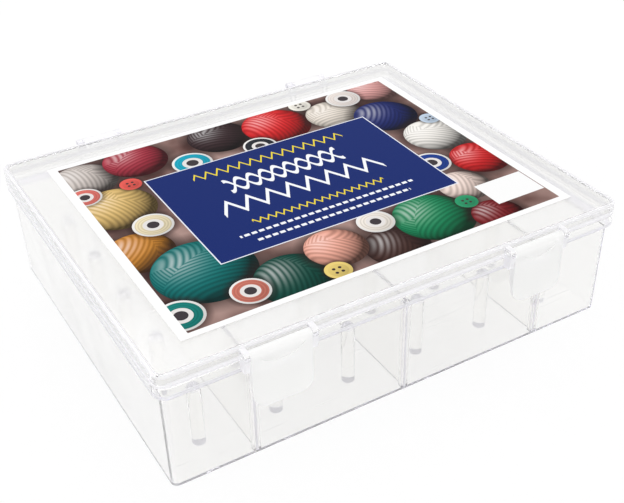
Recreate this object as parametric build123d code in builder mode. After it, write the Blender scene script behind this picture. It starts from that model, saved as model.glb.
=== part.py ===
from build123d import *
import os
from math import tan, radians

# Clear moulded thread box: a tray with press-in spool pegs and lift-out dividers,
# under a hinged lid with two snap latches.
# Millimetres. X runs along the front, -Y is the front, +Z is up.
# The origin is the centre of the tray's underside, which stands on the table.

# ---------------------------------------------------------------- tray
box_length = 340.0          # over the rim and the lid, along X
box_depth = 280.0           # over the rim and the lid, along Y
box_height = 90.0           # table to the lid's top face
wall = 2.0
floor_thickness = 2.0
lid_height = 8.0            # top of the tray's rim to the lid's top face
rim_height = 9.0            # upright band of the rim
rim_step = 3.6              # how far the rim stands outside the wall
flare_height = 4.0          # sloping shoulder under the rim
flare_lift = 0.8            # the inside of the shoulder starts this much higher
wall_draft = 0.5            # degrees, the tray narrows downwards
corner_radius = 8.0         # plan corners of the rim and the lid
underside_chamfer = 1.2     # along the tray's bottom edge

# ---------------------------------------------------------------- lid
lid_thickness = 2.0
lid_skirt = 2.0             # thickness of the outer skirt
lid_gap = 0.3               # skirt to rim when shut
lid_edge_round = 1.3
lip_thickness = 1.4         # inner lip that drops inside the rim
lip_drop = 3.0              # how far the lip reaches below the rim's top
lip_gap = 0.35              # lip to the rim's inner face

# ---------------------------------------------------------------- label
label_length = 291.0
label_width = 231.0
label_thickness = 0.3
label_shift_x = 1.5         # stuck on slightly off centre
label_shift_y = -2.0

# ---------------------------------------------------------------- spool pegs
peg_columns = 6
peg_rows = 5
peg_pitch_x = 54.6
peg_pitch_y = 54.0
peg_radius = 4.4
peg_height = 46.5           # above the floor
peg_spigot = 4.8            # side of the square spigot under the shaft
peg_spigot_gap = 0.05       # spigot to hole, each side
peg_spigot_recess = 0.3     # the spigot ends short of the table

# ---------------------------------------------------------------- dividers
divider_count = 3
columns_between_dividers = 2
divider_thickness = 1.6
divider_drop = 9.8          # top edge below the rim's top
divider_corner = 5.0
divider_end_gap = 0.3       # to the end walls
divider_side_gap = 0.25     # to each guide rib
rib_thickness = 1.5
rib_depth = 3.2
rib_top_gap = 1.2           # ribs end this far below the divider's top edge

# ---------------------------------------------------------------- lid hinges
hinge_x = 92.0              # centre of each hinge from the middle
hinge_back = 6.0            # pin axis behind the rim's back face
knuckle_radius = 3.4        # the knuckles are flush with the lid's top
barrel_length = 26.0
hinge_side_gap = 0.4        # barrel end to ear
hinge_ear_thickness = 4.0
hinge_pin_radius = 1.5
hinge_pin_gap = 0.08        # radial
hinge_pin_end_gap = 0.6     # the stub ends short of the ear's outer face
ear_root_height = 6.0       # height of the ear's root on the rim
ear_root_drop = 3.0         # the root starts this far below the rim's top
arm_height = 5.4            # lid arm that carries the barrel

# ---------------------------------------------------------------- latches
latch_x = 95.0              # centre of each latch from the middle
latch_width = 40.0
latch_axis_front = 4.0      # pivot axis in front of the lid's face
latch_axis_drop = 4.2       # pivot axis below the lid's top
latch_barrel_radius = 2.8
latch_plate = 2.0
latch_length = 38.0         # pivot axis to the tab's lower edge
latch_corner = 9.0
latch_curl = 1.6            # the tab's lower edge curls outwards
latch_curl_length = 16.0
latch_cheek = 1.8
latch_cheek_reach = 28.0    # the cheeks end this far below the pivot axis
latch_cheek_slope = 7.0
latch_cheek_gap = 0.4       # the cheeks end this far in front of the catch's tip
latch_side_gap = 0.4        # latch to lid ear
latch_ear_thickness = 3.6
latch_ear_radius = 3.4
latch_ear_reach = 11.0      # the ears reach this far below the pivot axis
latch_ear_taper = 1.6       # the ear's front edge runs back this far at its foot
latch_ear_gap = 0.4         # ear to the rim's front face
latch_pin_radius = 1.3
latch_pin_gap = 0.08        # radial
latch_pin_end_gap = 0.5     # the stub ends short of the ear's outer face
scallop_width = 30.0        # thumb scallop pressed into the latch's face
scallop_drop = 6.0
scallop_recess = 0.6
catch_length = 30.0         # snap wedge on the rim, behind each latch
catch_stand = 2.2           # how far it stands out of the rim
catch_height = 3.0
catch_land = 0.9            # upright face of the wedge
catch_drop = 5.5            # middle of the wedge below the rim's top
snap_gap = 0.3              # bead to wedge; on the real latch the plastic flexes here
bead_height = 2.4           # snap bead inside the latch

# ---------------------------------------------------------------- worked out
parting_height = box_height - lid_height
divider_height = parting_height - divider_drop - floor_thickness
catch_level = parting_height - catch_drop
rim_half_x = box_length / 2
rim_half_y = box_depth / 2
shoulder_top = parting_height - rim_height
shoulder_foot = shoulder_top - flare_height
skirt_bottom = parting_height + lid_gap
hinge_y = rim_half_y + hinge_back
hinge_z = box_height - knuckle_radius
latch_y = -rim_half_y - latch_axis_front
latch_z = box_height - latch_axis_drop
hinge_ear_start = barrel_length / 2 + hinge_side_gap
latch_ear_start = latch_width / 2 + latch_side_gap
divider_pitch = columns_between_dividers * peg_pitch_x
column_places = [(index - (peg_columns - 1) / 2) * peg_pitch_x for index in range(peg_columns)]
divider_places = [(index - (divider_count - 1) / 2) * divider_pitch for index in range(divider_count)]


def wall_half(half, height, inset):
    """Half size of the tray wall at a height, moved inwards by inset."""
    return half - rim_step - tan(radians(wall_draft)) * (shoulder_foot - height) - inset


def side_plane(x):
    """Sketch plane across the box at x: its local X runs along Y and its local Y along Z."""
    return Plane(origin=(x, 0, 0), x_dir=(0, 1, 0), z_dir=(1, 0, 0))


def tray_form(inset, bottom, top, lift):
    """Solid with the tray's drafted walls, flared shoulder and rim, moved inwards by inset."""
    foot = shoulder_foot + lift
    foot_x = 2 * wall_half(rim_half_x, foot, inset)
    foot_y = 2 * wall_half(rim_half_y, foot, inset)
    rim_x = 2 * (rim_half_x - inset)
    rim_y = 2 * (rim_half_y - inset)
    with BuildPart() as form:
        with BuildSketch(Plane.XY.offset(bottom)):
            bottom_x = 2 * wall_half(rim_half_x, bottom, inset)
            bottom_y = 2 * wall_half(rim_half_y, bottom, inset)
            RectangleRounded(bottom_x, bottom_y, corner_radius - rim_step - inset)
        with BuildSketch(Plane.XY.offset(foot)):
            RectangleRounded(foot_x, foot_y, corner_radius - rim_step - inset)
        loft(ruled=True)
        with BuildSketch(Plane.XY.offset(foot)):
            RectangleRounded(foot_x, foot_y, corner_radius - rim_step - inset)
        with BuildSketch(Plane.XY.offset(shoulder_top + lift)):
            RectangleRounded(rim_x, rim_y, corner_radius - inset)
        loft(ruled=True)
        with BuildSketch(Plane.XY.offset(shoulder_top + lift)):
            RectangleRounded(rim_x, rim_y, corner_radius - inset)
        extrude(amount=top - shoulder_top - lift)
    return form.part


def make_base():
    """Tray with rim, divider guide ribs, peg holes, hinge ears and latch catches."""
    outer = tray_form(0, underside_chamfer, parting_height, 0)
    cavity = tray_form(wall, floor_thickness, parting_height + wall, flare_lift)
    wall_foot = wall_half(rim_half_y, 0, wall)
    with BuildPart() as base:
        add(outer)
        for height in (0, underside_chamfer):
            cut_back = underside_chamfer - height
            with BuildSketch(Plane.XY.offset(height)):
                RectangleRounded(
                    2 * wall_half(rim_half_x, height, cut_back),
                    2 * wall_half(rim_half_y, height, cut_back),
                    corner_radius - rim_step - cut_back,
                )
        loft(ruled=True)
        add(cavity, mode=Mode.SUBTRACT)

        # guide ribs, a pair on each end wall for each divider
        with BuildSketch(Plane.XY.offset(floor_thickness)):
            for x in divider_places:
                for side in (-1, 1):
                    rib_x = x + side * (divider_thickness / 2 + divider_side_gap + rib_thickness / 2)
                    for end in (-1, 1):
                        with Locations((rib_x, end * (wall_foot + wall / 2 - rib_depth / 2))):
                            Rectangle(rib_thickness, rib_depth + wall)
        extrude(amount=divider_height - rib_top_gap)

        # square holes for the pegs' spigots
        hole = peg_spigot + 2 * peg_spigot_gap
        with BuildSketch(Plane.XY):
            with GridLocations(peg_pitch_x, peg_pitch_y, peg_columns, peg_rows):
                Rectangle(hole, hole)
        extrude(amount=floor_thickness, mode=Mode.SUBTRACT)

        # hinge ears on the back of the rim
        root_z = parting_height - ear_root_drop - ear_root_height / 2
        for x in (-hinge_x, hinge_x):
            for ear_x in (x - hinge_ear_start - hinge_ear_thickness, x + hinge_ear_start):
                with BuildSketch(side_plane(ear_x)):
                    with Locations((hinge_y, hinge_z)):
                        Circle(knuckle_radius)
                    with Locations((rim_half_y - wall / 2, root_z)):
                        Rectangle(wall / 2, ear_root_height)
                    make_hull()
                    with Locations((hinge_y, hinge_z)):
                        Circle(hinge_pin_radius + hinge_pin_gap, mode=Mode.SUBTRACT)
                extrude(amount=hinge_ear_thickness)

        # catch wedges on the front of the rim, behind the latches
        rim_front = -rim_half_y
        catch_foot = catch_level - catch_height / 2
        for x in (-latch_x, latch_x):
            with BuildSketch(side_plane(x - catch_length / 2)):
                with BuildLine():
                    Polyline(
                        (rim_front + wall / 2, catch_foot),
                        (rim_front - catch_stand, catch_foot),
                        (rim_front - catch_stand, catch_foot + catch_land),
                        (rim_front, catch_foot + catch_height),
                        (rim_front + wall / 2, catch_foot + catch_height),
                        close=True,
                    )
                make_face()
            extrude(amount=catch_length)
    return base


def make_lid():
    """Shallow lid with an inner lip, two hinge barrels with stub pins and four latch ears."""
    lip_inset = wall + lip_gap
    lip_bottom = parting_height - lip_drop
    ceiling = box_height - lid_thickness
    with BuildPart() as lid:
        with BuildSketch(Plane.XY.offset(skirt_bottom)):
            RectangleRounded(box_length, box_depth, corner_radius)
        extrude(amount=box_height - skirt_bottom)
        fillet(lid.faces().sort_by(Axis.Z)[-1].edges(), lid_edge_round)
        with BuildSketch(Plane.XY.offset(skirt_bottom)):
            RectangleRounded(box_length - 2 * lid_skirt, box_depth - 2 * lid_skirt, corner_radius - lid_skirt)
        extrude(amount=ceiling - skirt_bottom, mode=Mode.SUBTRACT)

        # inner lip
        with BuildSketch(Plane.XY.offset(lip_bottom)):
            RectangleRounded(box_length - 2 * lip_inset, box_depth - 2 * lip_inset, corner_radius - lip_inset)
            offset(amount=-lip_thickness, mode=Mode.SUBTRACT)
        extrude(amount=ceiling - lip_bottom)

        # hinge barrels on arms from the back edge, each with two stub pins
        stub_end = hinge_ear_start + hinge_ear_thickness - hinge_pin_end_gap
        for x in (-hinge_x, hinge_x):
            with BuildSketch(side_plane(x - barrel_length / 2)):
                with Locations((hinge_y, hinge_z)):
                    Circle(knuckle_radius)
                with Locations((rim_half_y - lid_edge_round, box_height - arm_height / 2)):
                    Rectangle(lid_edge_round / 2, arm_height)
                make_hull()
            extrude(amount=barrel_length)
            with BuildSketch(side_plane(x - stub_end)):
                with Locations((hinge_y, hinge_z)):
                    Circle(hinge_pin_radius)
            extrude(amount=2 * stub_end)

        # latch ears on the front skirt, which reach down over the rim
        ear_back = -rim_half_y - latch_ear_gap
        ear_root = -rim_half_y + lid_skirt / 2
        ear_foot = latch_z - latch_ear_reach
        for x in (-latch_x, latch_x):
            for ear_x in (x - latch_ear_start - latch_ear_thickness, x + latch_ear_start):
                with BuildSketch(side_plane(ear_x)):
                    with BuildLine():
                        CenterArc((latch_y, latch_z), latch_ear_radius, 90, 90)
                        Polyline(
                            (latch_y - latch_ear_radius, latch_z),
                            (latch_y - latch_ear_radius + latch_ear_taper, ear_foot),
                            (ear_back, ear_foot),
                            (ear_back, skirt_bottom),
                            (ear_root, skirt_bottom),
                            (ear_root, latch_z + latch_ear_radius),
                            (latch_y, latch_z + latch_ear_radius),
                        )
                    make_face()
                    with Locations((latch_y, latch_z)):
                        Circle(latch_pin_radius + latch_pin_gap, mode=Mode.SUBTRACT)
                extrude(amount=latch_ear_thickness)
    return lid


def make_latch(x):
    """Snap latch: barrel with stub pins, curled tab with rounded corners, cheeks and snap bead."""
    face = latch_y - latch_barrel_radius
    inside = face + latch_plate
    tab_bottom = latch_z - latch_length
    curl_start = tab_bottom + latch_curl_length
    cheek_foot = latch_z - latch_cheek_reach
    cheek_back = -rim_half_y - catch_stand - latch_cheek_gap
    bead_tip = -rim_half_y - catch_stand - snap_gap
    bead_top = catch_level - catch_height / 2 - snap_gap
    scallop_radius = (scallop_width**2 / 4 + scallop_drop**2) / (2 * scallop_drop)
    scallop_top = latch_z - latch_barrel_radius
    with BuildPart() as latch:
        # tab, curled outwards at its lower edge
        with BuildSketch(side_plane(x - latch_width / 2)):
            with BuildLine():
                outer_curl = TangentArc(
                    (face, curl_start), (face - latch_curl, tab_bottom), tangent=(0, -1)
                )
                inner_curl = TangentArc(
                    (inside, curl_start), (inside - latch_curl, tab_bottom), tangent=(0, -1)
                )
                Line(outer_curl @ 1, inner_curl @ 1)
                Polyline((face, curl_start), (face, latch_z), (inside, latch_z), (inside, curl_start))
            make_face()
            with Locations((latch_y, latch_z)):
                Circle(latch_barrel_radius)
        extrude(amount=latch_width)

        # cheeks
        for cheek_x in (x - latch_width / 2, x + latch_width / 2 - latch_cheek):
            with BuildSketch(side_plane(cheek_x)):
                with BuildLine():
                    Polyline(
                        (face + latch_plate / 2, latch_z),
                        (cheek_back, latch_z),
                        (cheek_back, cheek_foot + latch_cheek_slope),
                        (face + latch_plate / 2, cheek_foot),
                        close=True,
                    )
                make_face()
            extrude(amount=latch_cheek)

        # snap bead
        with BuildSketch(side_plane(x - catch_length / 2)):
            with BuildLine():
                Polyline(
                    (face + latch_plate / 2, bead_top),
                    (bead_tip, bead_top - bead_height / 3),
                    (bead_tip, bead_top - bead_height * 2 / 3),
                    (face + latch_plate / 2, bead_top - bead_height),
                    close=True,
                )
            make_face()
        extrude(amount=catch_length)

        # rounded lower corners, seen from the front
        outline_top = latch_z + latch_barrel_radius
        with BuildSketch(Plane.XZ):
            with Locations((x, (outline_top + tab_bottom) / 2)):
                Rectangle(latch_width, outline_top - tab_bottom)
            fillet(vertices().sort_by(Axis.Y)[:2], latch_corner)
        extrude(amount=box_depth, mode=Mode.INTERSECT)

        # thumb scallop
        with BuildSketch(Plane.XZ.offset(-face)):
            with Locations((x, scallop_top - scallop_drop + scallop_radius)):
                Circle(scallop_radius)
            with Locations((x, scallop_top - scallop_drop)):
                Rectangle(scallop_width, 2 * scallop_drop, mode=Mode.INTERSECT)
        extrude(amount=-scallop_recess, mode=Mode.SUBTRACT)

        # stub pins
        stub_end = latch_ear_start + latch_ear_thickness - latch_pin_end_gap
        with BuildSketch(side_plane(x - stub_end)):
            with Locations((latch_y, latch_z)):
                Circle(latch_pin_radius)
        extrude(amount=2 * stub_end)
    return latch


def make_divider(x):
    """Lift-out divider with rounded upper corners, standing between the guide ribs."""
    length = 2 * (wall_half(rim_half_y, floor_thickness, wall) - divider_end_gap)
    with BuildPart() as divider:
        with BuildSketch(side_plane(x - divider_thickness / 2)):
            with Locations((0, floor_thickness + divider_height / 2)):
                Rectangle(length, divider_height)
            fillet(vertices().sort_by(Axis.Y)[-2:], divider_corner)
        extrude(amount=divider_thickness)
    return divider


def make_peg_column(x):
    """Column of spool pegs, each a round shaft on the floor with a square spigot pressed into it."""
    with BuildPart() as pegs:
        with BuildSketch(Plane.XY.offset(floor_thickness)):
            with GridLocations(peg_pitch_x, peg_pitch_y, 1, peg_rows):
                with Locations((x, 0)):
                    Circle(peg_radius)
        extrude(amount=peg_height)
        with BuildSketch(Plane.XY.offset(peg_spigot_recess)):
            with GridLocations(peg_pitch_x, peg_pitch_y, 1, peg_rows):
                with Locations((x, 0)):
                    Rectangle(peg_spigot, peg_spigot)
        extrude(amount=floor_thickness - peg_spigot_recess)
    return pegs


def make_label():
    """Printed label stuck on the lid's top."""
    with BuildPart() as label:
        with BuildSketch(Plane.XY.offset(box_height)):
            with Locations((label_shift_x, label_shift_y)):
                Rectangle(label_length, label_width)
        extrude(amount=label_thickness)
    return label


def save(piece, name):
    """Label a finished piece and write its STEP file."""
    piece.part.label = name
    export_step(piece.part, f"parts/{name}.step")


os.makedirs("parts", exist_ok=True)
save(make_base(), "base_tray")
save(make_lid(), "lid")
save(make_label(), "lid_label")
save(make_latch(-latch_x), "latch_left")
save(make_latch(latch_x), "latch_right")
for place, divider_x in enumerate(divider_places):
    save(make_divider(divider_x), f"divider_{place + 1}")
for place, peg_x in enumerate(column_places):
    save(make_peg_column(peg_x), f"spool_pegs_column_{place + 1}")
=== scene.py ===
from math import cos, pi, radians, sin

import bpy
from mathutils import Matrix, Vector


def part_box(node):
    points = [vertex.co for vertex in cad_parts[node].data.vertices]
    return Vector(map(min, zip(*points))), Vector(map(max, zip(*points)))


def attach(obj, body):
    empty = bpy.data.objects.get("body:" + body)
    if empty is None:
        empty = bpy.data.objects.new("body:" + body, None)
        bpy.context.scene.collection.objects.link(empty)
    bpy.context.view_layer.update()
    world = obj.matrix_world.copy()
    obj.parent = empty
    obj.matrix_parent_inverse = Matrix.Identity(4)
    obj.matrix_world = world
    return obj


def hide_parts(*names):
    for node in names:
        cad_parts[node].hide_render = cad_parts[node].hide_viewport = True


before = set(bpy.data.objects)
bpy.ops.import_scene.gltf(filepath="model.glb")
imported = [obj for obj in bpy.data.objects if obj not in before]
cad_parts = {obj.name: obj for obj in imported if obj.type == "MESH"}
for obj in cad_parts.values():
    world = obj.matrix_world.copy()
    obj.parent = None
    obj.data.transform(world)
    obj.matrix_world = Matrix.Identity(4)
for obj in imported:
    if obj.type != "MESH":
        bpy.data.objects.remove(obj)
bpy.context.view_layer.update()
bpy.ops.object.select_all(action="DESELECT")

# Metres. X runs along the front of the box, -Y is the latch side, +Z is up.

# ---------------------------------------------------------------- camera
CAMERA_PLACE = (-0.30609, -0.55099, 0.45837)
CAMERA_RIGHT = (0.85938, -0.51086, -0.02207)
CAMERA_UP = (0.30234, 0.47285, 0.82765)
CAMERA_BACK = (-0.41237, -0.71794, 0.56081)
CAMERA_LENS, SENSOR_WIDTH = 59.81, 36.0    # millimetres
CAMERA_REACH = 20.0


def set_camera():
    bpy.ops.object.camera_add()
    camera = bpy.context.object
    camera.name = "camera"
    turn = Matrix((CAMERA_RIGHT, CAMERA_UP, CAMERA_BACK)).transposed()
    camera.matrix_world = Matrix.Translation(CAMERA_PLACE) @ turn.to_4x4()
    camera.data.sensor_width = SENSOR_WIDTH
    camera.data.lens = CAMERA_LENS
    camera.data.clip_end = CAMERA_REACH
    bpy.context.scene.camera = camera


# ---------------------------------------------------------------- shader nodes
class NodeTree:
    """A shader that is built up node by node."""

    def __init__(self, tree):
        self.tree = tree
        tree.nodes.clear()

    def add(self, kind, inputs=(), **settings):
        """A node with its settings, and its inputs by name: a number, a colour or another node's output."""
        node = self.tree.nodes.new("ShaderNode" + kind)
        for name, value in settings.items():
            setattr(node, name, value)
        for name, value in dict(inputs).items():
            self.feed(node, name, value)
        return node

    def feed(self, node, name, value):
        """Sets an input, or links it to another node's output."""
        socket = node.inputs[name]
        if isinstance(value, bpy.types.NodeSocket):
            self.tree.links.new(value, socket)
        elif isinstance(value, tuple) and len(value) == 3 and socket.type == "RGBA":
            socket.default_value = (*value, 1.0)
        else:
            socket.default_value = value

    def sum(self, operation, a, b=0.0, c=0.0):
        """One step of arithmetic."""
        node = self.tree.nodes.new("ShaderNodeMath")
        node.operation = operation
        for place, value in enumerate((a, b, c)):
            self.feed(node, place, value)
        return node.outputs[0]

    def mix(self, share, first, second):
        """A shader between two others."""
        node = self.add("MixShader")
        for place, value in enumerate((share, first, second)):
            self.feed(node, place, value)
        return node.outputs[0]

    def either(self, *rays):
        """1 for the kinds of ray that are named."""
        path = self.add("LightPath")
        found = 0.0
        for ray in rays:
            found = self.sum("MAXIMUM", found, path.outputs[ray])
        return found


class Finish(NodeTree):
    """A material."""

    def __init__(self, name):
        self.material = bpy.data.materials.new(name)
        self.material.use_nodes = True
        super().__init__(self.material.node_tree)
        self.out = self.add("OutputMaterial")

    def place(self):
        """A place on the piece, in metres from the shared origin."""
        return self.add("TexCoord").outputs["Object"]

    def finish(self, shader, inside=None):
        self.tree.links.new(shader, self.out.inputs["Surface"])
        if inside is not None:
            self.tree.links.new(inside, self.out.inputs["Volume"])
        return self.material


# ---------------------------------------------------------------- modelling
def pick(*pieces):
    """Selects these pieces alone, the first as the active one."""
    bpy.ops.object.select_all(action="DESELECT")
    for piece in pieces:
        piece.select_set(True)
    bpy.context.view_layer.objects.active = pieces[0]


def extrude_up(height):
    bpy.ops.mesh.extrude_region_move(TRANSFORM_OT_translate={"value": (0, 0, height)})


def close_mesh():
    """Turns all faces outwards and leaves edit mode."""
    bpy.ops.mesh.select_all(action="SELECT")
    bpy.ops.mesh.normals_make_consistent(inside=False)
    bpy.ops.object.mode_set(mode="OBJECT")


def join(*pieces):
    """Joins the pieces to the first, with the origin at the shared origin."""
    pick(*pieces)
    bpy.ops.object.join()
    bpy.ops.object.transform_apply(location=True, rotation=True, scale=True)


def dress(node, material):
    """Gives a CAD node its finish."""
    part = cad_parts[node].data
    part.materials.clear()
    part.materials.append(material)


# ---------------------------------------------------------------- clear plastic
# Clearness is the share of light that goes straight through a face, and haze blurs what lies behind it.
WALL_CLEARNESS, WALL_HAZE = 0.93, 0.05
LID_CLEARNESS, LID_HAZE = 0.9, 0.12
INSERT_CLEARNESS, INSERT_HAZE = 0.975, 0.06
HAZE_SPREAD = 0.4          # haze varies by this share from cloud to cloud
WALL_DEPTH, DIVIDER_DEPTH, PEG_DEPTH = 3.6, 1.2, 0.6
WALL_BEND, DIVIDER_BEND, PEG_BEND = 1.5, 1.45, 1.3    # refraction, low where a piece has to stay faint
WALL_TINT = (0.992, 0.99, 0.976)
LID_TINT = (0.975, 0.973, 0.96)
DEPTH_TINT = (0.5, 0.45, 0.95)
SHADOW_TINT = (0.985, 0.985, 0.99)
CLOUD_LOW, CLOUD_HIGH = 0.3, 0.7       # the range that a cloudy noise keeps to
RIPPLE_SCALE, RIPPLE_STRENGTH, RIPPLE_HEIGHT = 14.0, 0.12, 0.002

# hair-fine marks of handling, which run two ways
SCRATCH_TURNS = ((0.1, 0.2, 0.5), (0.3, -0.15, 1.9))
SCRATCH_STRETCH = (14.0, 1500.0, 1500.0)
SCRATCH_START, SCRATCH_FULL = 0.76, 0.82
SCRATCH_FROST, SCRATCH_BLUR = 0.3, 0.2

# painted highlights: edges frosted pale and tinted violet, standing in for the highlights that light gives
# them
HIGHLIGHT_TINT = (0.95, 0.942, 0.985)
LID_HIGHLIGHT_TINT = (0.98, 0.973, 0.986)
TRAY_HIGHLIGHT_TINT = (0.965, 0.957, 0.986)
HIGHLIGHT_FROST, HIGHLIGHT_BLUR = 0.57, 0.35
LID_HALF_X, LID_HALF_Y, LID_TOP = 0.170, 0.140, 0.090
LID_EDGE = 0.0022
SKIRT_EDGE = 0.0836                        # the lid's skirt gets the painted highlight below this
RIM_HALF_X, RIM_HALF_Y = 0.1665, 0.1365    # the tray's rim stands outside these
RIM_TOP_EDGE, RIM_LOWER_EDGE = 0.0808, 0.0745
CORNER_X, CORNER_Y = 0.1620, 0.1320        # the tray's upright corners lie outside these
CORNER_REACH, CORNER_TOP = 0.0044, 0.069
# how far the painted highlight whitens the tray's upright corners
CORNER_HIGHLIGHT = 0.7
DIVIDER_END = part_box("divider_1")[1][1]
DIVIDER_EDGE = 0.0012
FOOT_TOP = 0.0022                          # just above the flat foot of a peg
# where a peg's tip starts, and the share of painted highlight on it
TIP_START, TIP_HIGHLIGHT = 0.0452, 0.6


def see_through(finish, shader, tint):
    """Lets shadow and diffuse rays straight through a piece, so that it casts a pale shadow."""
    clear = finish.add("BsdfTransparent", {"Color": tint})
    return finish.mix(finish.either("Is Shadow Ray", "Is Diffuse Ray"), shader, clear.outputs[0])


def scratches(finish, place):
    """1 along a few fine marks."""
    marks = 0.0
    for turn in SCRATCH_TURNS:
        stretched = finish.add("Mapping", {"Vector": place, "Rotation": turn, "Scale": SCRATCH_STRETCH})
        grain = finish.add("TexNoise", {"Vector": stretched.outputs[0], "Scale": 1.0, "Detail": 1.0})
        line = finish.add("MapRange", {"Value": grain.outputs["Fac"], "From Min": SCRATCH_START,
                                       "From Max": SCRATCH_FULL})
        marks = finish.sum("MAXIMUM", marks, line.outputs[0])
    return marks


def clear_plastic(name, clearness, haze, depth, bend, highlight_mask, tint=WALL_TINT, highlight_tint=HIGHLIGHT_TINT):
    """Clear moulded polystyrene: faint ripple, cloudy haze, scratches, and a violet depth along its edges.

    The mask function gives where an edge gets a painted highlight, frosted pale in the highlight's own
    tint."""
    finish = Finish(name)
    place = finish.place()
    ripple = finish.add("TexNoise", {"Vector": place, "Scale": RIPPLE_SCALE, "Detail": 2.0,
                                     "Roughness": 0.5}).outputs["Fac"]
    bump = finish.add("Bump", {"Strength": RIPPLE_STRENGTH, "Distance": RIPPLE_HEIGHT, "Height": ripple})
    marks = scratches(finish, place)
    cloud = finish.add("MapRange", {"Value": ripple, "From Min": CLOUD_LOW, "From Max": CLOUD_HIGH,
                                    "To Min": haze * (1 - HAZE_SPREAD), "To Max": haze * (1 + HAZE_SPREAD)})
    roughness = finish.sum("MULTIPLY_ADD", marks, SCRATCH_BLUR, cloud.outputs[0])
    clearness = finish.sum("MULTIPLY_ADD", marks, -SCRATCH_FROST, clearness)
    # painted highlight: where the mask is 1, the plastic turns pale, rougher and tinted
    edge = highlight_mask(finish, place)
    clearness = finish.sum("MULTIPLY_ADD", edge, -HIGHLIGHT_FROST, clearness)
    roughness = finish.sum("MULTIPLY_ADD", edge, HIGHLIGHT_BLUR, roughness)
    tint = finish.add("MixRGB", {"Fac": edge, "Color1": tint, "Color2": highlight_tint}).outputs[0]
    shell = finish.add("BsdfPrincipled", {
        "Normal": bump.outputs["Normal"], "Base Color": tint, "Roughness": roughness,
        "IOR": bend, "Transmission Weight": clearness})
    inside = finish.add("VolumeAbsorption", {"Color": DEPTH_TINT, "Density": depth})
    return finish.finish(see_through(finish, shell.outputs[0], SHADOW_TINT), inside.outputs[0])


def far_out(finish, value, limit):
    """1 where a place is further than the limit from the middle."""
    return finish.sum("GREATER_THAN", finish.sum("ABSOLUTE", value), limit)


def axes(finish, place):
    """A place's X, Y and Z."""
    return finish.add("SeparateXYZ", {0: place}).outputs


def outer_band(finish, place, sides, low, high):
    """1 outside the sides and also below the low level or above the high one."""
    x, y, z = axes(finish, place)
    outer = finish.sum("MAXIMUM", far_out(finish, x, sides[0]), far_out(finish, y, sides[1]))
    ends = finish.sum("MAXIMUM", finish.sum("LESS_THAN", z, low), finish.sum("GREATER_THAN", z, high))
    return finish.sum("MULTIPLY", outer, ends)


def lid_edge(finish, place):
    """1 along the lid's rounded top edges and the foot of its skirt, where a highlight is painted."""
    sides = (LID_HALF_X - LID_EDGE, LID_HALF_Y - LID_EDGE)
    return outer_band(finish, place, sides, SKIRT_EDGE, LID_TOP - LID_EDGE)


def tray_edge(finish, place):
    """1 along both edges of the tray's rim, and rising towards its four upright corners below, where a
    highlight is painted.
    """
    x, y, z = axes(finish, place)
    corner_highlight = finish.sum("LESS_THAN", z, CORNER_TOP)
    for value, start in ((x, CORNER_X), (y, CORNER_Y)):
        rise = finish.add("MapRange", {"Value": finish.sum("ABSOLUTE", value), "From Min": start,
                                       "From Max": start + CORNER_REACH})
        corner_highlight = finish.sum("MULTIPLY", corner_highlight, rise.outputs[0])
    corner_highlight = finish.sum("MULTIPLY", corner_highlight, CORNER_HIGHLIGHT)
    rim = outer_band(finish, place, (RIM_HALF_X, RIM_HALF_Y), RIM_LOWER_EDGE, RIM_TOP_EDGE)
    return finish.sum("MAXIMUM", corner_highlight, rim)


def divider_edge(finish, place):
    """1 along a divider's front and back edges, where a highlight is painted."""
    return far_out(finish, axes(finish, place)["Y"], DIVIDER_END - DIVIDER_EDGE)


def peg_ends(finish, place):
    """1 on a peg's foot and its spigot, and part of that on its tip, where a pale violet highlight is
    painted.
    """
    z = axes(finish, place)["Z"]
    tip = finish.sum("MULTIPLY", finish.sum("GREATER_THAN", z, TIP_START), TIP_HIGHLIGHT)
    return finish.sum("MAXIMUM", finish.sum("LESS_THAN", z, FOOT_TOP), tip)


# ---------------------------------------------------------------- milky plastic
MILKY_TINT = (0.995, 0.995, 0.985)
MILKY_SHADOW = (0.95, 0.95, 0.95)
MILKY_CLEARNESS = 0.4
MILKY_BEND = 1.49
MILKY_SMOOTH, MILKY_DULL = 0.3, 0.38
MILKY_CLOUD_SCALE = 60.0
GRAIN_SCALE, GRAIN_STRENGTH, GRAIN_HEIGHT = 1600.0, 0.1, 0.0003


def milky_plastic():
    """Softer plastic for the latches, which bend a little: milky, with a fine-grained skin."""
    finish = Finish("milky_polypropylene")
    place = finish.place()
    cloud = finish.add("TexNoise", {"Vector": place, "Scale": MILKY_CLOUD_SCALE,
                                    "Detail": 3.0}).outputs["Fac"]
    grain = finish.add("TexNoise", {"Vector": place, "Scale": GRAIN_SCALE, "Detail": 1.0}).outputs["Fac"]
    bump = finish.add("Bump", {"Strength": GRAIN_STRENGTH, "Distance": GRAIN_HEIGHT, "Height": grain})
    roughness = finish.add("MapRange", {"Value": cloud, "From Min": CLOUD_LOW, "From Max": CLOUD_HIGH,
                                        "To Min": MILKY_SMOOTH, "To Max": MILKY_DULL})
    shell = finish.add("BsdfPrincipled", {
        "Normal": bump.outputs["Normal"], "Base Color": MILKY_TINT, "Roughness": roughness.outputs[0],
        "IOR": MILKY_BEND, "Transmission Weight": MILKY_CLEARNESS})
    return finish.finish(see_through(finish, shell.outputs[0], MILKY_SHADOW))


# ---------------------------------------------------------------- label print
LABEL_SIZE = (0.291, 0.231)
LABEL_MIDDLE = (0.0015, -0.002)
LABEL_BOTTOM = 0.09004
LABEL_THICKNESS = 0.00022
LABEL_ROUGHNESS, LABEL_BEND, LABEL_GLOSS = 0.4, 1.2, 0.15
PAPER_ROUGHNESS, FIBRE_SCALE = 0.6, 900.0

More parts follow.
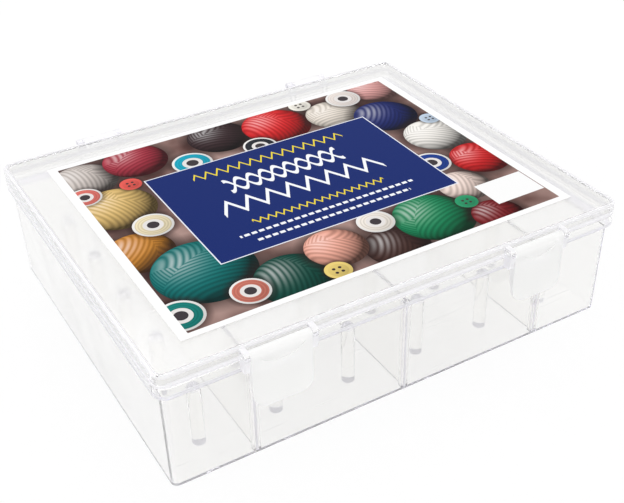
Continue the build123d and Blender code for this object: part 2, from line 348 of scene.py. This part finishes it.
# Places and sizes in the design are millimetres.
TO_MILLIMETRES = (1000.0, 1000.0, 1000.0)
PICTURE = (1.5, -2.3, 139.0, 110.7)        # middle x, middle y, half width, half height
PANEL = (1.7, -0.6, 92.5, 61.2)
PATCH = (120.0, -85.0, 19.8, 13.6)
PANEL_OUTLINE = 0.9

LIGHT_FROM = (-0.35, 0.5, 0.79)            # the light on the motifs, from the upper left and in front
BALL_AMBIENT = 0.1
SHEEN_FOCUS, SHEEN_SWING, SHEEN_LEVEL = 9.0, 0.16, 0.2
WINDING_TURN, WINDING_PITCH = 1.1, 2.1     # the turn is the angle between two layers of thread on a ball
WINDING_SLANT, WINDING_LEAN = 0.85, 0.35
WINDING_SHADE, WINDING_LIGHT = 0.2, 0.9    # how far threads shade a ball, and its level between them
UPPER_LAYERS = ((1, 0.25), (2, -0.1))      # layer, and where on the ball it starts
LAYER_TURN, LAYER_LEAN = 0.5, 0.4          # how a layer's edge lies to its windings
FLANGE_SLOPE, FLANGE_LIGHT = (-0.09, 0.13), 0.87
RING_PITCH, RING_SHADE, RING_LIGHT = 3.0, 0.12, 0.9
BUTTON_SLOPE, BUTTON_LIGHT, BUTTON_LIFT = (-0.12, 0.17), 0.8, 0.15
BALL_SHADOW, DISC_SHADOW = 0.75, 0.7
# squares of distances from a motif's middle, in its radii
SHADOW_END, SHADOW_FULL = 1.8, 0.9
BOBBIN_THREAD, BOBBIN_CORE, BOBBIN_HOLE = 0.77, 0.25, 0.09
BUTTON_RIM, BUTTON_HOLE = 0.55, 0.017
HOLE_PLACE = 0.24                          # across and along, from a button's middle

BLACK = (0.0, 0.0, 0.0)
WHITE = (1.0, 1.0, 1.0)
# printed colours, 0 to 255
GROUND_INKS, GROUND_SCALE = ((92, 62, 58), (176, 146, 138)), 0.02
GROUND_LOW, GROUND_HIGH = 0.35, 0.65
PAPER_INKS = ((238, 236, 230), (250, 249, 246))
SHADOW_INK = (38, 24, 24)
BORDER_INK = (250, 250, 250)
PATCH_INK = (246, 246, 246)
PANEL_INK, OUTLINE_INK = (22, 42, 108), (235, 238, 248)
WHITE_THREAD, YELLOW_THREAD = (244, 246, 250), (236, 214, 60)
FLANGE_INK, CORE_INK, CORE_HOLE_INK = (236, 234, 232), (226, 222, 220), (62, 56, 60)
BUTTON_HOLE_INK = (60, 50, 50)

# middle x, middle y, radius, turn of the windings, thread colour
THREAD_BALLS = (
    (14, -104, 22, 0.4, (74, 47, 42)), (128, 98, 21, 1.9, (222, 160, 156)),
    (-16, 92, 24, 2.2, (60, 40, 44)), (-126, 84, 24, 0.9, (206, 196, 190)),
    (-84, 92, 24, 2.8, (176, 52, 70)), (-120, 36, 27, 1.3, (226, 190, 118)),
    (-128, -22, 23, 0.2, (208, 138, 52)), (-102, -62, 34, 2.5, (12, 122, 120)),
    (-58, -100, 27, 0.7, (8, 78, 66)), (-20, -84, 21, 1.6, (238, 170, 150)),
    (54, -88, 28, 2.9, (22, 140, 92)), (96, -66, 19, 0.5, (236, 214, 204)),
    (30, 84, 27, 1.1, (226, 34, 38)), (78, 76, 23, 2.4, (232, 222, 210)),
    (110, 52, 25, 0.3, (26, 40, 112)), (124, 6, 24, 1.8, (242, 238, 232)),
    (130, -40, 22, 2.0, (214, 30, 34)), (92, -108, 18, 1.0, (128, 22, 30)),
)
# middle x, middle y, radius, thread colour
BOBBINS = (
    (-50, 66, 15, (24, 170, 196)), (-108, 4, 14, (240, 226, 190)), (-134, -96, 15, (24, 132, 124)),
    (4, 62, 13, (40, 44, 52)), (98, 96, 14, (240, 230, 224)), (-88, -96, 13, (206, 120, 104)),
    (96, -28, 14, (30, 66, 150)), (18, -72, 13, (244, 236, 226)), (-134, 62, 12, (230, 120, 110)),
)
BUTTONS = ((62, 104, 9, (240, 236, 226)), (84, -84, 8, (44, 150, 104)), (-32, -106, 9, (232, 206, 120)),
           (-100, 62, 8, (228, 92, 84)), (136, 30, 8, (190, 206, 224)))


def paint(red, green, blue):
    """A printed colour, given as 0 to 255, as the shader reads it."""
    def linear(part):
        part /= 255
        return part / 12.92 if part <= 0.04045 else ((part + 0.055) / 1.055) ** 2.4
    return linear(red), linear(green), linear(blue)


class Print(Finish):
    """The label's design, laid on layer by layer. Only numbers and colours pass from node to node."""

    def __init__(self, name):
        super().__init__(name)
        place = self.add("Mapping", {"Vector": self.place(), "Scale": TO_MILLIMETRES}).outputs[0]
        self.x, self.y = axes(self, place)[:2]
        cloud = self.add("TexNoise", {"Vector": place, "Scale": GROUND_SCALE, "Detail": 3.0}).outputs["Fac"]
        dark, light = GROUND_INKS
        self.colour = self.between(self.span(cloud, GROUND_LOW, GROUND_HIGH), paint(*dark), paint(*light))

    def span(self, value, low, high, most=1.0):
        """0 at low, most at high, and a straight line between them."""
        ramp = self.add("MapRange", {"Value": value, "From Min": low, "From Max": high, "To Max": most})
        return ramp.outputs[0]

    def between(self, share, first, second):
        """A colour between two others."""
        return self.add("MixRGB", {"Fac": share, "Color1": first, "Color2": second}).outputs[0]

    def lay(self, mask, colour):
        """Prints a colour over what is there, where the mask is 1."""
        self.colour = self.between(mask, self.colour, colour)

    def off(self, value, middle):
        """How far a value is from the middle."""
        return self.sum("ABSOLUTE", self.sum("SUBTRACT", value, middle))

    def below(self, value, edge):
        return self.sum("LESS_THAN", value, edge)

    def within(self, x, y, half_x, half_y):
        """1 inside a rectangle."""
        across = self.below(self.off(self.x, x), half_x)
        return self.sum("MULTIPLY", across, self.below(self.off(self.y, y), half_y))

    def round_place(self, x, y, radius):
        """Place from a round motif's middle, in radii, and the square of the distance from its middle."""
        u = self.sum("MULTIPLY_ADD", self.x, 1 / radius, -x / radius)
        v = self.sum("MULTIPLY_ADD", self.y, 1 / radius, -y / radius)
        return u, v, self.sum("MULTIPLY_ADD", u, u, self.sum("MULTIPLY", v, v))

    def tilt(self, weights, values, base=0.0):
        """A weighted sum."""
        total = base
        for weight, value in zip(weights, values):
            total = self.sum("MULTIPLY_ADD", value, weight, total)
        return total

    def soft_shadow(self, reach, strength):
        """Darkens what lies round a motif."""
        self.lay(self.span(reach, SHADOW_END, SHADOW_FULL, strength), paint(*SHADOW_INK))

    def shade(self, light, ink):
        """A printed colour under a light from 0 to 1."""
        return self.between(light, BLACK, paint(*ink))

    def windings(self, ball, radius, turn, layer):
        """Waves of thread round a ball, from -1 to 1."""
        angle = turn + layer * WINDING_TURN
        axis = (cos(angle) * WINDING_SLANT, sin(angle) * WINDING_SLANT, WINDING_LEAN * (-1) ** layer)
        return self.sum("SINE", self.tilt([radius * WINDING_PITCH * part for part in axis], ball))

    def thread_ball(self, x, y, radius, turn, colour):
        """A ball of thread in three layers, each wound another way over a part of it."""
        u, v, reach = self.round_place(x, y, radius)
        self.soft_shadow(reach, BALL_SHADOW)
        ball = (u, v, self.sum("SQRT", self.sum("SUBTRACT", 1.0, reach)))
        wound = self.windings(ball, radius, turn, 0)
        for layer, edge in UPPER_LAYERS:
            band = self.windings(ball, radius, turn, layer)
            angle = turn + layer * WINDING_TURN + LAYER_TURN
            side = self.sum("GREATER_THAN", self.tilt((cos(angle), sin(angle), LAYER_LEAN), ball), edge)
            wound = self.sum("MULTIPLY_ADD", side, self.sum("SUBTRACT", band, wound), wound)
        light = self.sum("MAXIMUM", self.tilt(LIGHT_FROM, ball), 0.0)
        sheen = self.sum("MULTIPLY", self.sum("POWER", light, SHEEN_FOCUS),
                         self.sum("MULTIPLY_ADD", wound, SHEEN_SWING, SHEEN_LEVEL))
        light = self.sum("MULTIPLY", self.sum("ADD", light, BALL_AMBIENT),
                         self.sum("MULTIPLY_ADD", wound, WINDING_SHADE, WINDING_LIGHT))
        self.lay(self.below(reach, 1.0), self.between(sheen, self.shade(light, colour), WHITE))

    def bobbin(self, x, y, radius, colour):
        """A bobbin seen from its end: flange, rings of thread, core and hole."""
        u, v, reach = self.round_place(x, y, radius)
        self.soft_shadow(reach, DISC_SHADOW)
        light = self.tilt(FLANGE_SLOPE, (u, v), FLANGE_LIGHT)
        self.lay(self.below(reach, 1.0), self.shade(light, FLANGE_INK))
        rings = self.sum("SINE", self.sum("MULTIPLY", self.sum("SQRT", reach), radius * RING_PITCH))
        rings = self.sum("MULTIPLY", self.sum("MULTIPLY_ADD", rings, RING_SHADE, RING_LIGHT), light)
        self.lay(self.below(reach, BOBBIN_THREAD), self.shade(rings, colour))
        self.lay(self.below(reach, BOBBIN_CORE), paint(*CORE_INK))
        self.lay(self.below(reach, BOBBIN_HOLE), paint(*CORE_HOLE_INK))

    def button(self, x, y, radius, colour):
        """A button with a raised rim and four holes."""
        u, v, reach = self.round_place(x, y, radius)
        self.soft_shadow(reach, DISC_SHADOW)
        light = self.tilt(BUTTON_SLOPE, (u, v), BUTTON_LIGHT)
        light = self.sum("MULTIPLY_ADD", self.sum("GREATER_THAN", reach, BUTTON_RIM), BUTTON_LIFT, light)
        self.lay(self.below(reach, 1.0), self.shade(light, colour))
        across = self.off(self.sum("ABSOLUTE", u), HOLE_PLACE)
        along = self.off(self.sum("ABSOLUTE", v), HOLE_PLACE)
        hole = self.sum("MULTIPLY_ADD", across, across, self.sum("MULTIPLY", along, along))
        self.lay(self.below(hole, BUTTON_HOLE), paint(*BUTTON_HOLE_INK))

    def row(self, middle, inside, thickness, colour):
        """A line of thread about a level, where inside is 1."""
        thread = self.below(self.off(self.y, middle), thickness / 2)
        self.lay(self.sum("MULTIPLY", inside, thread), paint(*colour))

    def stitches(self, level, half_width, swing, period, thickness, colour):
        """A zigzag row of stitches on the panel."""
        along = self.sum("SUBTRACT", self.x, PANEL[0])
        inside = self.below(self.sum("ABSOLUTE", along), half_width)
        swung = self.sum("MULTIPLY_ADD", self.sum("PINGPONG", along, period / 2), 4 * swing / period,
                         PANEL[1] + level - swing)
        self.row(swung, inside, thickness, colour)

    def braid(self, level, half_width, swing, period, thickness, colour):
        """Two waves of thread that cross each other."""
        along = self.sum("SUBTRACT", self.x, PANEL[0])
        inside = self.below(self.sum("ABSOLUTE", along), half_width)
        wave = self.sum("SINE", self.sum("MULTIPLY", along, 2 * pi / period))
        for side in (swing, -swing):
            self.row(self.sum("MULTIPLY_ADD", wave, side, PANEL[1] + level), inside, thickness, colour)

    def dashes(self, level, half_width, period, share, thickness, colour):
        """A row of running stitches on the panel."""
        along = self.sum("SUBTRACT", self.x, PANEL[0])
        inside = self.below(self.sum("ABSOLUTE", along), half_width)
        dash = self.below(self.sum("FRACT", self.sum("DIVIDE", along, period)), share)
        self.row(PANEL[1] + level, self.sum("MULTIPLY", inside, dash), thickness, colour)


# kind of row, level on the panel, half width, swing and period (or period and share), thickness, thread
STITCH_ROWS = (
    (Print.stitches, 45.0, 62.0, 4.2, 9.0, 2.4, YELLOW_THREAD),
    (Print.braid, 22.0, 46.0, 8.0, 20.0, 4.4, WHITE_THREAD),
    (Print.stitches, -4.0, 64.0, 8.0, 16.0, 5.2, WHITE_THREAD),
    (Print.stitches, -28.0, 52.0, 2.6, 6.0, 2.0, YELLOW_THREAD),
    (Print.dashes, -40.0, 68.0, 5.4, 0.7, 2.6, WHITE_THREAD),
    (Print.dashes, -49.0, 60.0, 5.4, 0.7, 2.6, WHITE_THREAD),
)


def label_print():
    """Thread balls, bobbins and buttons about a blue panel with rows of stitches, and a bare patch."""
    design = Print("printed_label")
    for ball in THREAD_BALLS:
        design.thread_ball(*ball)
    for bobbin in BOBBINS:
        design.bobbin(*bobbin)
    for button in BUTTONS:
        design.button(*button)
    design.lay(design.within(*PATCH), paint(*PATCH_INK))
    x, y, half_x, half_y = PANEL
    design.lay(design.within(x, y, half_x, half_y), paint(*OUTLINE_INK))
    design.lay(design.within(x, y, half_x - PANEL_OUTLINE, half_y - PANEL_OUTLINE), paint(*PANEL_INK))
    for kind, *sizes in STITCH_ROWS:
        kind(design, *sizes)
    printed = design.between(design.within(*PICTURE), paint(*BORDER_INK), design.colour)
    shell = design.add("BsdfPrincipled", {
        "Base Color": printed, "Roughness": LABEL_ROUGHNESS, "IOR": LABEL_BEND,
        "Specular IOR Level": LABEL_GLOSS})
    return design.finish(shell.outputs[0])


def paper_back():
    """The label's bare underside."""
    finish = Finish("label_back")
    fibres = finish.add("TexNoise", {"Vector": finish.place(), "Scale": FIBRE_SCALE, "Detail": 3.0})
    mottle = finish.add("MixRGB", {"Fac": fibres.outputs["Fac"], "Color1": paint(*PAPER_INKS[0]),
                                   "Color2": paint(*PAPER_INKS[1])})
    shell = finish.add("BsdfPrincipled", {"Base Color": mottle.outputs[0], "Roughness": PAPER_ROUGHNESS})
    return finish.finish(shell.outputs[0])


def make_label():
    """The printed sheet, its design on top and bare paper below and at its edges."""
    bpy.ops.mesh.primitive_plane_add(size=1.0, location=(*LABEL_MIDDLE, LABEL_BOTTOM))
    label = bpy.context.object
    label.name = "printed_label"
    bpy.ops.object.mode_set(mode="EDIT")
    bpy.ops.transform.resize(value=(*LABEL_SIZE, 1.0))
    extrude_up(LABEL_THICKNESS)
    close_mesh()
    bpy.ops.object.transform_apply(location=True, rotation=True, scale=True)
    label.data.materials.append(label_print())
    label.data.materials.append(paper_back())
    for face in label.data.polygons:
        face.material_index = 0 if face.normal.z > 0.5 else 1
    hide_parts("lid_label")
    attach(label, "lid")
    bpy.ops.object.select_all(action="DESELECT")


# ---------------------------------------------------------------- spool pegs
PEG_FOOT, PEG_TOP = 0.00202, 0.0485
PEG_RADIUS, PEG_SIDES = 0.0044, 40
PEG_DOME, DOME_STEPS = 0.0028, 7
SMOOTH_BELOW = radians(40)
SPIGOT_SIDE, SPIGOT_CHAMFER = 0.0048, 0.0002
SPIGOT_BOTTOM, SPIGOT_TOP = 0.0003, 0.00198
PEG_PITCH_X, PEG_PITCH_Y = 0.0546, 0.054
PEG_COLUMNS = [(column - 2.5) * PEG_PITCH_X for column in range(6)]
PEG_ROWS = [(row - 2) * PEG_PITCH_Y for row in range(5)]


def make_peg():
    """One peg: a smooth shaft with a domed tip, and the square spigot that sits in the floor."""
    bpy.ops.mesh.primitive_circle_add(vertices=PEG_SIDES, radius=PEG_RADIUS, fill_type="NGON",
                                      location=(0, 0, PEG_FOOT))
    shaft = bpy.context.object
    bpy.ops.object.mode_set(mode="EDIT")
    bpy.ops.mesh.select_all(action="SELECT")
    extrude_up(PEG_TOP - PEG_FOOT)
    bpy.ops.mesh.bevel(offset=PEG_DOME, segments=DOME_STEPS, affect="EDGES")
    close_mesh()
    bpy.ops.mesh.primitive_plane_add(size=SPIGOT_SIDE, location=(0, 0, SPIGOT_BOTTOM))
    spigot = bpy.context.object
    bpy.ops.object.mode_set(mode="EDIT")
    extrude_up(SPIGOT_TOP - SPIGOT_BOTTOM)
    bpy.ops.mesh.select_all(action="SELECT")
    bpy.ops.mesh.bevel(offset=SPIGOT_CHAMFER, segments=1, affect="EDGES")
    close_mesh()
    join(shaft, spigot)
    bpy.ops.object.shade_smooth_by_angle(angle=SMOOTH_BELOW)
    return shaft


def make_pegs(finish):
    """Six columns of five pegs, each column a piece."""
    model = make_peg()
    for number, x in enumerate(PEG_COLUMNS, 1):
        column = []
        for y in PEG_ROWS:
            peg = model.copy()
            peg.data = model.data.copy()
            peg.location = (x, y, 0)
            bpy.context.collection.objects.link(peg)
            column.append(peg)
        join(*column)
        pegs = column[0]
        pegs.name = f"thread_pegs_column_{number}"
        pegs.data.materials.append(finish)
        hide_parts(f"spool_pegs_column_{number}")
        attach(pegs, "base")
    bpy.data.objects.remove(model)


# ---------------------------------------------------------------- studio
FLOOR_SIZE, FLOOR_DROP = 8.0, 0.0004
FLOOR_GREY = (0.8, 0.8, 0.8)
FLOOR_GLOW = 0.9        # share of the seen floor that is plain white, and the rest keeps the shadow
WORLD_LIGHT = 0.82
# name, place, side and power
LAMPS = (("back_light", (0.35, 0.55, 1.45), 1.3, 5.4),
         ("side_light", (-1.7, -0.5, 0.8), 1.6, 6.0),
         ("front_light", (0.1, -1.7, 0.6), 1.6, 4.0))
SEEN_RAYS = ("Is Camera Ray", "Is Glossy Ray", "Is Transmission Ray")
BOUNCES, CLEAR_BOUNCES = 64, 32        # light takes many turns inside clear walls


def make_floor():
    """A pale floor that looks white and still takes the shadow."""
    bpy.ops.mesh.primitive_plane_add(size=FLOOR_SIZE, location=(0, 0, -FLOOR_DROP))
    floor = bpy.context.object
    floor.name = "studio_floor"
    finish = Finish("pale_floor")
    lit = finish.add("BsdfDiffuse", {"Color": FLOOR_GREY})
    white = finish.add("BsdfDiffuse", {"Color": WHITE})
    glow = finish.add("Emission", {"Color": WHITE, "Strength": 1.0})
    pale = finish.mix(FLOOR_GLOW, white.outputs[0], glow.outputs[0])
    floor.data.materials.append(finish.finish(finish.mix(finish.either(*SEEN_RAYS), lit.outputs[0], pale)))


def make_backdrop():
    """Soft light from all round, in front of plain white."""
    world = bpy.data.worlds.new("studio")
    bpy.context.scene.world = world
    world.use_nodes = True
    sky = NodeTree(world.node_tree)
    light = sky.add("Background", {"Color": WHITE, "Strength": WORLD_LIGHT})
    seen = sky.add("Background", {"Color": WHITE, "Strength": 1.0})
    sky.add("OutputWorld", {"Surface": sky.mix(sky.either(*SEEN_RAYS), light.outputs[0], seen.outputs[0])})


def make_lamps():
    """Wide soft lamps, each turned towards the box."""
    for name, place, side, power in LAMPS:
        bpy.ops.object.light_add(type="AREA", location=place)
        lamp = bpy.context.object
        lamp.name = name
        lamp.data.shape = "SQUARE"
        lamp.data.size = side
        lamp.data.energy = power
        lamp.rotation_euler = Vector(place).to_track_quat("Z", "Y").to_euler()


def set_render():
    scene = bpy.context.scene
    scene.view_settings.view_transform = "Standard"
    scene.cycles.max_bounces = BOUNCES
    scene.cycles.glossy_bounces = BOUNCES
    scene.cycles.transmission_bounces = BOUNCES
    scene.cycles.transparent_max_bounces = CLEAR_BOUNCES


# ---------------------------------------------------------------- making
set_camera()
clear = clear_plastic("clear_polystyrene", WALL_CLEARNESS, WALL_HAZE, WALL_DEPTH, WALL_BEND, tray_edge,
                      highlight_tint=TRAY_HIGHLIGHT_TINT)
clear_lid = clear_plastic("clear_lid", LID_CLEARNESS, LID_HAZE, WALL_DEPTH, WALL_BEND, lid_edge,
                          tint=LID_TINT, highlight_tint=LID_HIGHLIGHT_TINT)
milky = milky_plastic()
insert = clear_plastic("clear_insert", INSERT_CLEARNESS, INSERT_HAZE, DIVIDER_DEPTH, DIVIDER_BEND,
                       divider_edge)
dress("base_tray", clear)
dress("lid", clear_lid)
for side in ("left", "right"):
    dress(f"latch_{side}", milky)
for number in (1, 2, 3):
    dress(f"divider_{number}", insert)
make_label()
make_pegs(clear_plastic("clear_peg", INSERT_CLEARNESS, INSERT_HAZE, PEG_DEPTH, PEG_BEND, peg_ends))
make_floor()
make_backdrop()
make_lamps()
set_render()
